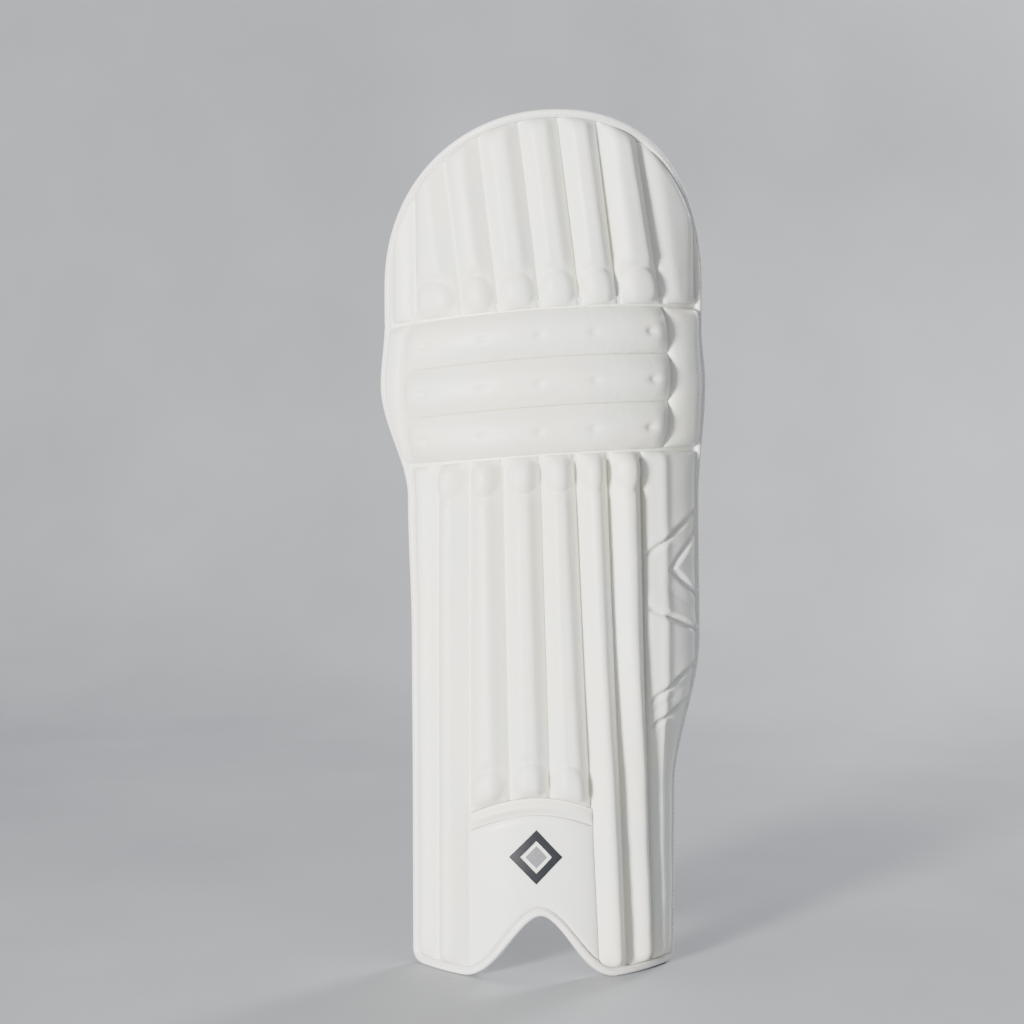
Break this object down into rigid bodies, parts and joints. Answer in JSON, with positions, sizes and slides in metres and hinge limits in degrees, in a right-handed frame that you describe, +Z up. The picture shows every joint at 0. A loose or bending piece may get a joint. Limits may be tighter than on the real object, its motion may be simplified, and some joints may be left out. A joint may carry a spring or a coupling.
{
  "type": "cricket leg pad",
  "caption": "Curved batting leg pad with padded front rolls, knee bolsters, a wing, an arched instep, cushioned leg side and closing straps.",
  "frame": {"origin": "bottom centre of the bounding box, on the floor between the two feet of the instep arch", "axes": "+Z up along the shin, -Y towards the strike face, +Y towards the leg, +X towards the wing side"},
  "size_m": [0.2757, 0.1108, 0.72],
  "materials": {
    "white_pu": "satin soft coated leather",
    "ivory_binding": "satin folded edge binding",
    "cream_mesh": "matt air mesh over foam",
    "pale_lining": "matt brushed lining",
    "red_mesh": "matt fine mesh",
    "pink_print": "satin printed coated fabric",
    "cream_webbing": "matt woven webbing",
    "striped_elastic": "matt ribbed elastic",
    "loop_pile": "matt loop pile",
    "cane": "dry natural cane"
  },
  "bodies": {
    "shin": {"shin_backing": "white_pu", "shin_roll_1": "white_pu", "shin_roll_2": "white_pu", "shin_roll_3": "white_pu", "shin_roll_4": "white_pu", "shin_roll_5": "white_pu", "shin_roll_6": "white_pu", "shin_cane_1": "cane", "shin_cane_2": "cane", "shin_cane_3": "cane", "shin_cane_4": "cane", "shin_cane_5": "cane", "shin_cane_6": "cane", "shin_edge_roll": "white_pu", "shin_wing": "white_pu", "instep_panel": "white_pu", "instep_band": "white_pu", "shin_hem": "ivory_binding", "shin_binding_left": "ivory_binding", "shin_binding_right": "ivory_binding", "shin_centre_lining": "pale_lining", "ankle_loop_patch": "loop_pile", "calf_cushion_left_1": "cream_mesh", "calf_cushion_left_2": "cream_mesh", "calf_cushion_left_3": "cream_mesh", "calf_cushion_right_1": "cream_mesh", "calf_cushion_right_2": "cream_mesh", "calf_cushion_right_3": "cream_mesh"},
    "knee": {"knee_backing": "white_pu", "knee_bolster_lower": "white_pu", "knee_bolster_middle": "white_pu", "knee_bolster_upper": "white_pu", "knee_edge_roll": "white_pu", "knee_side_roll": "white_pu", "knee_wing": "white_pu", "knee_loop_patch": "loop_pile", "knee_binding_left": "ivory_binding", "knee_binding_right": "ivory_binding", "knee_cup_lining": "red_mesh"},
    "top_flap": {"top_backing": "white_pu", "top_roll_1": "white_pu", "top_roll_2": "white_pu", "top_roll_3": "white_pu", "top_roll_4": "white_pu", "top_roll_5": "white_pu", "top_roll_6": "white_pu", "top_edge_roll": "white_pu", "top_wing": "white_pu", "top_binding": "ivory_binding", "knee_lining_flap": "red_mesh", "printed_panel": "pink_print", "top_inner_panel_left": "white_pu", "top_inner_panel_right": "white_pu"},
    "knee_strap": {"knee_strap": "cream_webbing"},
    "knee_strap_tab": {"knee_strap_tab": "white_pu"},
    "calf_strap": {"calf_strap": "cream_webbing"},
    "calf_elastic": {"calf_elastic": "striped_elastic"},
    "ankle_strap": {"ankle_strap": "cream_webbing"},
    "ankle_strap_tab": {"ankle_strap_tab": "white_pu"}
  },
  "joints": [
    {"name": "lower_fold", "type": "hinge", "parent": "shin", "child": "knee", "pos_m": [0, -0.0388, 0.438], "axis": [0.9976, 0, 0.0698], "range_deg": [-1.5, 20], "stiffness_Nm_per_rad": 6},
    {"name": "upper_fold", "type": "hinge", "parent": "knee", "child": "top_flap", "pos_m": [0, -0.0388, 0.558], "axis": [0.9976, 0, 0.0698], "range_deg": [-1.5, 20], "stiffness_Nm_per_rad": 6},
    {"name": "knee_strap_swing", "type": "hinge", "parent": "knee", "child": "knee_strap", "pos_m": [-0.127, 0.03835, 0.469], "axis": [0, 0, 1], "range_deg": [0, 120]},
    {"name": "knee_tab_peel", "type": "hinge", "parent": "knee_strap", "child": "knee_strap_tab", "pos_m": [0.0991, 0.04583, 0.469], "axis": [0, 0, 1], "range_deg": [0, 80]},
    {"name": "calf_strap_swing", "type": "hinge", "parent": "shin", "child": "calf_strap", "pos_m": [-0.102, 0.04241, 0.3185], "axis": [0, 0, 1], "range_deg": [0, 120]},
    {"name": "calf_elastic_swing", "type": "hinge", "parent": "shin", "child": "calf_elastic", "pos_m": [0.124, 0.03888, 0.3185], "axis": [0, 0, -1], "range_deg": [0, 30]},
    {"name": "ankle_strap_swing", "type": "hinge", "parent": "shin", "child": "ankle_strap", "pos_m": [-0.102, 0.04241, 0.158], "axis": [0, 0, 1], "range_deg": [0, 120]},
    {"name": "ankle_tab_peel", "type": "hinge", "parent": "ankle_strap", "child": "ankle_strap_tab", "pos_m": [0.0616, 0.05011, 0.158], "axis": [0, 0, 1], "range_deg": [0, 80]}
  ],
  "couplings": [
    {"joint": "calf_elastic_swing", "follows": "calf_strap_swing", "ratio": 0.25}
  ]
}
